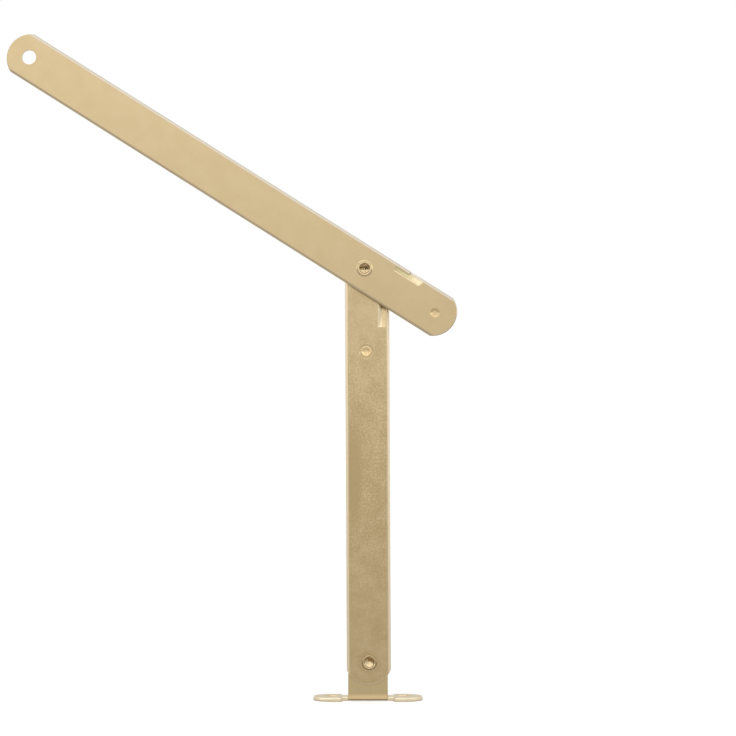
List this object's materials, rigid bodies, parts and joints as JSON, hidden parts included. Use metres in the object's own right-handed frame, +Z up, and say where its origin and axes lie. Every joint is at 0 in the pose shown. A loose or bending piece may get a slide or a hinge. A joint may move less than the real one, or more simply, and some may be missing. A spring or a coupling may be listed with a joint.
{
  "type": "folding lid stay",
  "caption": "Folding lid stay: riveted flat strip arms with a click-straight knuckle, on a bent foot bracket with eared screw plate.",
  "frame": {"origin": "underside of the foot plate, midway between its two screw holes", "axes": "+Z up from the surface that the foot is screwed to, +X to the right along the two ears, -Y to the front where the upper arm and the rolled rivet rims are"},
  "size_m": [0.1323, 0.0135, 0.1962],
  "materials": {
    "brass_plated_strip": "satin bright brass plating over rolled steel strip",
    "brass_plated_bracket": "satin brass plating over pressed steel sheet",
    "brass_plated_rivet": "bright brass plating over headed steel, torn and dark in the hollow",
    "brass_plated_washer": "satin brass plating over thin steel"
  },
  "bodies": {
    "foot": {"foot_bracket": "brass_plated_bracket", "foot_rivet": "brass_plated_rivet"},
    "lower": {"lower_arm": "brass_plated_strip", "knuckle_rivet": "brass_plated_rivet", "knuckle_washer": "brass_plated_washer"},
    "upper": {"upper_arm": "brass_plated_strip"}
  },
  "joints": [
    {"name": "foot_pivot", "type": "hinge", "parent": "foot", "child": "lower", "pos_m": [0.0004, -0.00445, 0.0116], "axis": [0, -1, 0], "range_deg": [-90.28, 89.72]},
    {"name": "knuckle", "type": "hinge", "parent": "lower", "child": "upper", "pos_m": [-0.00102, -0.0066, 0.12739], "axis": [0, -1, 0], "range_deg": [-56.7, 123.3]}
  ]
}
